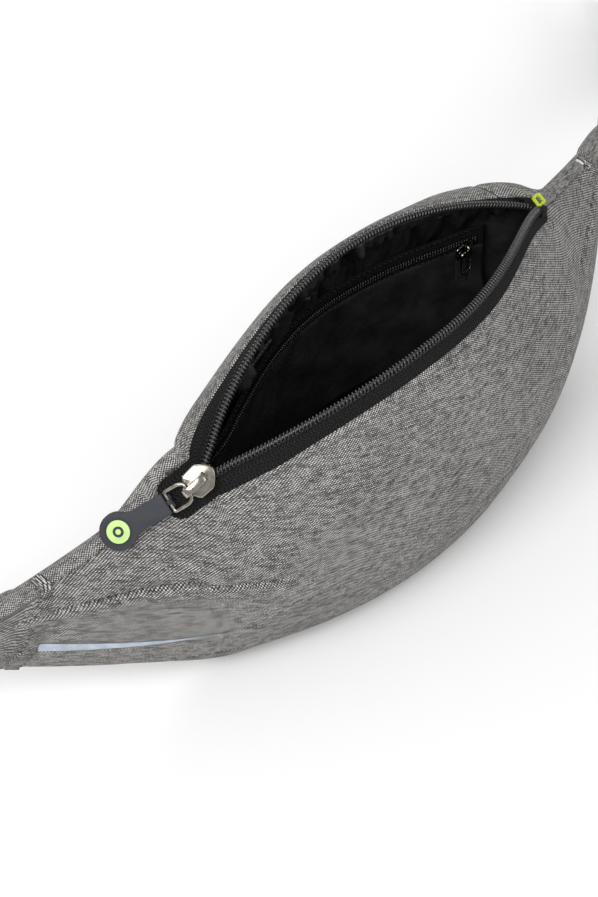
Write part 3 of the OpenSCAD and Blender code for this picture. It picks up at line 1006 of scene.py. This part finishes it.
def rounded_loop(pts, r, n=6):
    """A closed loop of points with its corners rounded."""
    out = []
    m = len(pts)
    for i in range(m):
        a, b, c = (np.array(pts[(i + k) % m], float) for k in (-1, 0, 1))
        u, w = unit(a - b), unit(c - b)
        r1 = min(r, 0.45 * np.linalg.norm(a - b), 0.45 * np.linalg.norm(c - b))
        for t in np.linspace(0, 1, n):
            out.append(tuple((1 - t) ** 2 * (b + u * r1) + 2 * t * (1 - t) * b + t * t * (b + w * r1)))
    return out


def plate_outline(nose):
    return rounded_loop([(nose, -1.8), (-4.6, -2.2), (-2.6, -5.6), (3.6, -5.8), (6.6, -3.2), (8, -1.1),
                         (8, 1.3), (6.6, 3.4), (3.6, 5.8), (-2.6, 5.6), (-4.6, 2.2), (nose, 1.8)], 1.3)


body = Parts()
body.slab(at, plate_outline(-7.0), 2.4, 4.0, 0.6, dome=0.5)
body.slab(at, plate_outline(-5.0), -5.3, -3.9, 0.4)
body.slab(at, rrect(1.4, 1.4, 0.4, cx=7.3, cy=0.3), -4.2, 2.9, 0.1)
for k in (-1, 1):
    for z0, z1 in ((-4.2, -3.3), (1.6, 2.8)):
        body.slab(at @ Matrix.Translation((0.6, k * 5.2, 0)), rrect(6.6, 0.9, 0.4), z0, z1, 0.2)
arch = []
for a in np.linspace(0, math.pi, 40):
    reach = math.copysign(abs(math.cos(a)) ** 0.5, math.cos(a))
    arch.append((-1.3 - 5.0 * reach, 0, 3.2 + 3.8 * abs(math.sin(a)) ** 0.5))
wide = [1.12 - 0.16 * math.sin(math.pi * t) for t in np.linspace(0, 1, 40)]
body.sweep(at, arch, rrect(1.35, 3.4, 0.6, 4), up=(0, 1, 0), scale=wide)
body.make("slider_metal", NICKEL, "slider", "nickel", ["slider_body"])

FRAME_L, FRAME_W = 8.4, 4.2  # the wire frame's length and half width
YAW, DIP, RDIP = math.radians(168), math.radians(16), math.radians(13)
at_frame = (at @ Matrix.Translation((-4.4, 0, 5.25)) @ Matrix.Rotation(YAW, 4, "Z")
            @ Matrix.Rotation(DIP, 4, "Y"))
at_pull = at_frame @ Matrix.Translation((FRAME_L, 0, 0)) @ Matrix.Rotation(RDIP - DIP, 4, "Y")
loop = rounded_loop([(0, -3.1, 0), (0, 3.1, 0), (2.3, FRAME_W, 0), (FRAME_L, FRAME_W, 0),
                     (FRAME_L, -FRAME_W, 0), (2.3, -FRAME_W, 0)], 1.1)
wire = Parts()
wire.sweep(at_frame, loop, rrect(1.35, 1.35, 0.5, 3), closed=True)
wire.make("pull_frame_wire", NICKEL, "pull", "nickel", ["pull_frame"])

HEAD_X, HEAD_R, NECK_HALF = 22.5, 7.4, 4.3  # the pull's head: its place and radius; half width of the neck


def pull_outline():
    pts = []
    a0 = math.asin((NECK_HALF + 0.3) / HEAD_R)
    for a in np.linspace(-math.pi + a0, math.pi - a0, 60):
        pts.append((HEAD_X + HEAD_R * math.cos(a), HEAD_R * math.sin(a)))
    for x in np.linspace(HEAD_X - HEAD_R * math.cos(a0) - 2.5, 1.6, 12):
        pts.append((x, NECK_HALF))
    pts += [(1.15, 4.1), (0.95, 3.4), (0.9, 0), (0.95, -3.4), (1.15, -4.1)]
    for x in np.linspace(1.6, HEAD_X - HEAD_R * math.cos(a0) - 2.5, 12):
        pts.append((x, -NECK_HALF))
    return pts


rub = Parts()
rub.slab(at_pull, pull_outline(), -1.5, 1.5, 0.55)
rub.slab(at_pull, rrect(4.2, 5.4, 0.6, cx=0.9), -1.5, -0.72, 0.25)
barrel = [(0, y, 0) for y in np.linspace(-0.9, 0.9, 8)]
rub.sweep(at_pull, barrel, circle(1.35, 20), scale=[0.8, 1, 1, 1, 1, 1, 1, 0.8])
ring = [(x, y, 1.45) for x, y in circle(5.2, 48, HEAD_X)]
rub.sweep(at_pull, ring, circle(0.28, 6), closed=True)
rub.make("rubber_pull_moulding", RUBBER, "rubber", "rubber_slate", ["rubber_pull"])
badge = Parts()
badge.slab(at_pull, circle(4.5, 48, HEAD_X), 1.2, 1.75, 0.2, hole=circle(2.1, 48, HEAD_X))
badge.slab(at_pull, circle(1.1, 24, HEAD_X), 1.2, 1.75, 0.2)
badge.make("pull_ring_inlay", GREEN, "rubber", "accent_green", ["pull_disc"])

# ---- lining: follows the panels inside, gathered under the back zip tape ----
lin_x = -112 + 224 * np.linspace(0, 1, 260)


def gather(x, v):
    """Irregular tucks under the tape that fade with depth, all towards the inside."""
    w = x + 5 * math.sin(x * 0.13 + 6 * v) + 3 * math.sin(x * 0.37 - 11 * v)
    g = math.sin(w * 0.3 + 4 * v) + 0.8 * math.sin(w * 0.63 + 2.0 - 9 * v) + 0.6 * math.sin(w * 0.17 - 1.0)
    g = 1.25 * g * (0.75 + 0.45 * math.sin(x * 0.083 + 5 * v)) + 0.4 * math.sin(x * 1.1 + 26 * v)
    fade = smooth(v / 0.03) * (1 - smooth((v - 0.2) / 0.3))
    slack = 0.6 * math.sin(x * 0.09 + 9 * v) + 0.4 * math.sin(x * 0.21 - 13 * v)
    return -(1.9 * max(g + 1.2, 0) * fade + 0.5 * (slack + 1) * smooth((v - 0.1) / 0.2))


def lining_back_fn(x, v):
    if v < 0.22:
        return top_fn(x, v / 0.22)
    return back_curve(x, (v - 0.22) / 0.78)


def lining_base_fn(x, v):
    if v < 0.8:
        return base_curve(x, v / 0.8)
    return band_curve(x, (v - 0.8) / 0.2)


lb = Surf(lining_back_fn, lin_x, np.linspace(0, 1, 90), gather, roll=FLAT, back=3.2)
lb.shell("lining_back_cloth", LINING, ["lining_back"], 0.5)
lf = Surf(front_fn, lin_x, np.linspace(0, 1, 60), lambda x, v: -0.5 * (1 + math.sin(x * 0.13 + 7 * v)),
          roll=FLAT, back=3.2)
lf.shell("lining_front_cloth", LINING, ["lining_front"], 0.5)
ls = Surf(lining_base_fn, lin_x, np.linspace(0, 1, 50), lambda x, v: -0.4 * (1 + math.sin(x * 0.1 + 6 * v)),
          roll=FLAT, back=3.4)
ls.shell("lining_base_cloth", LINING, ["lining_base"], 0.5)

gb = Surf(lambda x, v: top_fn(x, 0.05 + 0.5 * v), np.linspace(-90, -40, 70), np.linspace(0, 1, 14),
          lambda x, v: -0.5 * math.sin(math.pi * v), roll=(0, 0, 1.0, 1.0), back=6.6)
gb.shell("inner_binding_tape", GROSGRAIN, ["inner_binding"], 0.7)

# ---- inner pocket ----


def wall_y(x):
    return back_top(x)[0] - 4.2 - 0.0012 * x * x + 6 * smooth((abs(x) - 64) / 28)


INNER_ZIP_Z = 94.0  # height of the inner zip
POCKET_HALF = 86.0
INNER_HALF = 82.0  # half length of the inner zip's coil


def wall_sheet(name, mat, nodes, x0, x1, z0, z1, off, thick, wobble=0.0, n=120, m=20):
    """A flat piece against the back wall, slack by up to twice wobble in its middle."""
    def slack(x, z):
        return wobble * (1 + math.sin(x * 0.17 + z * 0.2)) * math.sin(math.pi * (z - z0) / (z1 - z0))
    P = np.array([[(x, wall_y(x) - off - slack(x, z), z) for z in np.linspace(z0, z1, m)]
                  for x in np.linspace(x0, x1, n)])
    verts, faces = grid_mesh(P, P + np.array([0, thick, 0]))
    return make(name, verts, faces, mat, "bag", nodes, [(p[0], p[2]) for p in P.reshape(-1, 3)] * 2)


wall_sheet("pocket_panel_cloth", LINING, ["pocket_panel"],
           -POCKET_HALF, POCKET_HALF, 30, INNER_ZIP_Z - 5.0, 0.6, 0.6, 0.9)
wall_sheet("pocket_tape_weave", TAPE, ["pocket_zip_tape"],
           -POCKET_HALF, POCKET_HALF, INNER_ZIP_Z - 5.2, INNER_ZIP_Z + 5.2, 0.9, 0.5)
line = [(x, wall_y(x) - 2.2, INNER_ZIP_Z) for x in np.linspace(-INNER_HALF, INNER_HALF, 300)]
pz = Parts()
for k in (-1, 1):
    pz.add(*helix([(a, b, c + 0.65 * k) for a, b, c in line], 1.25, 0.8, 0.3, 0.8, 8))
pz.make("pocket_coil_teeth", COIL, "bag", "coil_black", ["pocket_zip_coil"])
for row, dz in (("low", -4.4), ("high", 4.4)):
    path = [(vec(x, wall_y(x) - 1.3, INNER_ZIP_Z + dz), vec(0, -1, 0))
            for x in np.linspace(-INNER_HALF, INNER_HALF, 160)]
    stitches("pocket_stitch_" + row, path, THREAD_BLACK, "tape_black", 2.6, 1.9, 0.2)
wall_sheet("blank_label_satin", LABEL, ["blank_label"], 74, 79, 66, 83, 1.7, 0.4, 0.2, 10, 20)

INNER_SLIDER_X = 73.0  # where the inner slider stands
psy = wall_y(INNER_SLIDER_X) - 7.2
ps = Parts()
stand = Matrix.Translation((INNER_SLIDER_X, psy + 0.9, INNER_ZIP_Z)) @ STAND
ps.slab(stand, rrect(10, 7.2, 1.6), 0, 1.2, 0.4)
arch = [(0, -2.8 * math.cos(a), 1.0 + 3.0 * abs(math.sin(a)) ** 0.6) for a in np.linspace(0, math.pi, 20)]
ps.sweep(stand, arch, rrect(2.2, 1.0, 0.35, 3), up=(1, 0, 0))
ps.make("pocket_slider_metal", NICKEL, "pocket_slider", "nickel", ["pocket_slider"])
loop = rounded_loop([(-2.9, -11.4, 0), (2.9, -11.4, 0), (2.9, 0, 0), (-2.9, 0, 0)], 1.3)
pp = Parts()
pp.sweep(Matrix.Translation((INNER_SLIDER_X, psy - 1.2, INNER_ZIP_Z)) @ STAND, loop,
         rrect(1.2, 1.1, 0.4, 3), closed=True)
pp.make("pocket_pull_wire", NICKEL, "pocket_pull", "nickel", ["pocket_pull"])

# ---- belt ----
WEB_W, WEB_T = 30.0, 1.6
WEB_L, WEB_R = 62.0, 128.0  # lengths of the left and right webbing
tip_c, tip_b = crest(WING_X), seam_b(WING_X)
WZ, WY = (tip_c[1] + tip_b[1]) / 2, (tip_c[0] + tip_b[0]) / 2 + 4
DROP = WZ - WEB_W / 2 - 1.6


def web_at(s):
    """The right webbing's middle line, s mm from the wing; the left one mirrors it."""
    a = math.radians(22 + 0.1 * s)
    return np.array([WING_X + 0.4 + s * math.cos(a), WY + s * math.sin(a), WZ - DROP * smooth(s / 120)])


def web_side(s):
    d = web_at(s + 1) - web_at(s)
    n = np.array([d[1], -d[0], 0])
    return n / np.linalg.norm(n)


def web(side, name, nodes, s0, s1, off, thick):
    rows = []
    ss = np.linspace(s0, s1, int((s1 - s0) / 1.5))
    ks = np.concatenate([[-1, -0.985, -0.95], np.linspace(-0.9, 0.9, 17), [0.95, 0.985, 1]])
    out, inn, uv = [], [], []
    for s in ss:
        n = web_side(s)
        p = web_at(s)
        ro, ri = [], []
        for k in ks:
            edge = 1 - abs(k) ** 30 * 0.7
            z = k * WEB_W / 2
            rib = 0.06 * math.cos(k * math.pi * 5)
            a = p + n * (off + thick / 2 * edge + rib) + np.array([0, 0, z])
            b = p + n * (off - thick / 2 * edge - rib) + np.array([0, 0, z])
            ro.append((side * a[0], a[1], a[2]))
            ri.append((side * b[0], b[1], b[2]))
            uv.append((s, z + 15))
        out.append(ro)
        inn.append(ri)
    verts, faces = grid_mesh(np.array(out), np.array(inn))
    if side < 0:
        faces = [f[::-1] for f in faces]
    return make(name, verts, faces, WEBBING, "bag", nodes, uv * 2)


web(-1, "webbing_left_strap", ["webbing_left"], -7, WEB_L + 5.0, 0, WEB_T)
web(1, "webbing_right_strap", ["webbing_right"], -7, WEB_R + 5.0, 0, WEB_T)
web(1, "webbing_tail_strap", ["web_tail"], 70, WEB_R + 5.0, WEB_T + 0.4, WEB_T)


def web_matrix(side, s):
    p, d = web_at(s), web_at(s + 1) - web_at(s)
    a = math.atan2(d[1], side * d[0])
    return Matrix.Translation((side * p[0], p[1], p[2])) @ Matrix.Rotation(a, 4, "Z")


keep = Parts()
keep.sweep(web_matrix(1, 114) @ Matrix.Translation((0, -1, 0)),
           [(0, y, z) for y, z in rrect(5.6, 31.9, 1.4, 5)], rrect(0.9, 8, 0.3, 2), closed=True, up=(1, 0, 0))
keep.make("web_keeper_loop", WEBBING, "bag", "webbing_black", ["web_keeper"])

mp = web_matrix(1, WEB_R) @ STAND
plug = Parts()
plug.slab(mp, rrect(16, 32.8, 2.6, 5, cx=8.4), -4, 4, 1.2, hole=rrect(4.6, 28, 1.2, 5, cx=5.7))
for k in (-1, 1):
    arm = [(15, -2.2), (36, -2.3), (42.2, -0.6), (42.4, 0.8), (39, 2.3), (33, 2.4), (30, 1.2), (15, 1.4)]
    arm = [(x, k * (11.3 + y)) for x, y in arm]
    plug.slab(mp, arm if k > 0 else arm[::-1], -2.6, 2.6, 0.6)
plug.slab(mp, rrect(21, 3.4, 1.2, 4, cx=25.8), -2, 2, 0.6)
for k in range(3):
    plug.slab(mp, rrect(1.0, 22, 0.4, 3, cx=10.4 + 1.9 * k), 3.7, 4.35, 0.25)
plug.make("buckle_plug_moulding", PLASTIC, "plug", "plastic_black", ["buckle_plug"])

ms = web_matrix(-1, WEB_L) @ STAND
sock = Parts()


def socket_plate():
    half, waist = 17.2, 14.6
    side = [(0.4, 14.5), (2.4, 16.6), (9, half), (14, half), (18, waist), (25, waist), (29, half), (33, half),
            (34.4, half - 1.6)]
    return [(x, -y) for x, y in side] + side[::-1]


for z0, z1 in ((-5, -2.9), (2.9, 5)):
    sock.slab(ms, socket_plate(), z0, z1, 0.8)
sock.slab(ms, rrect(13, 33.8, 2.0, 5, cx=7.0), -3.4, 3.4, 0.3, hole=rrect(5, 28, 1.2, 5, cx=5.9))
for k in (-1, 1):
    sock.slab(ms, rrect(5.6, 2.4, 0.8, 4, cx=31.2, cy=15.8 * k), -3.2, 3.2, 0.2)
sock.make("buckle_socket_moulding", PLASTIC, "socket", "plastic_black", ["buckle_socket"])

# ---- floor and light ----
floor_v = [(-1600, -1600, 0), (2400, -1600, 0), (2400, 2400, 0), (-1600, 2400, 0)]
paper, k = material("floor_paper", (0.93, 0.93, 0.93), 0.9)
k.color(k.ramp(k.noise(k.obj, 3, 2), (0.2, (0.92, 0.92, 0.92)), (0.8, (0.94, 0.94, 0.94))))
me = bpy.data.meshes.new("floor")
me.from_pydata([tuple(c * MM for c in p) for p in floor_v], [], [(0, 1, 2, 3)])
me.materials.append(paper)
floor = bpy.data.objects.new("floor", me)
bpy.context.collection.objects.link(floor)


def light(name, loc, size, power, target=(0, 0, 0.07)):
    d = bpy.data.lights.new(name, "AREA")
    d.shape = "RECTANGLE"
    d.size = size[0]
    d.size_y = size[1]
    d.energy = power
    o = bpy.data.objects.new(name, d)
    o.location = loc
    o.rotation_euler = (Vector(target) - Vector(loc)).to_track_quat("-Z", "Y").to_euler()
    bpy.context.collection.objects.link(o)


light("key", (-0.9, -0.35, 1.25), (0.9, 0.7), 16)
light("fill", (0.9, -1.1, 0.8), (1.2, 0.9), 5.5)
light("rim", (0.3, 1.2, 0.9), (1.2, 0.6), 6)
world = bpy.data.worlds.new("studio")
world.use_nodes = True
bg = world.node_tree.nodes["Background"]
bg.inputs["Color"].default_value = (1, 1, 1, 1)
bg.inputs["Strength"].default_value = 0.52
bpy.context.scene.world = world
bpy.context.scene.view_settings.view_transform = "Standard"

bpy.context.view_layer.update()
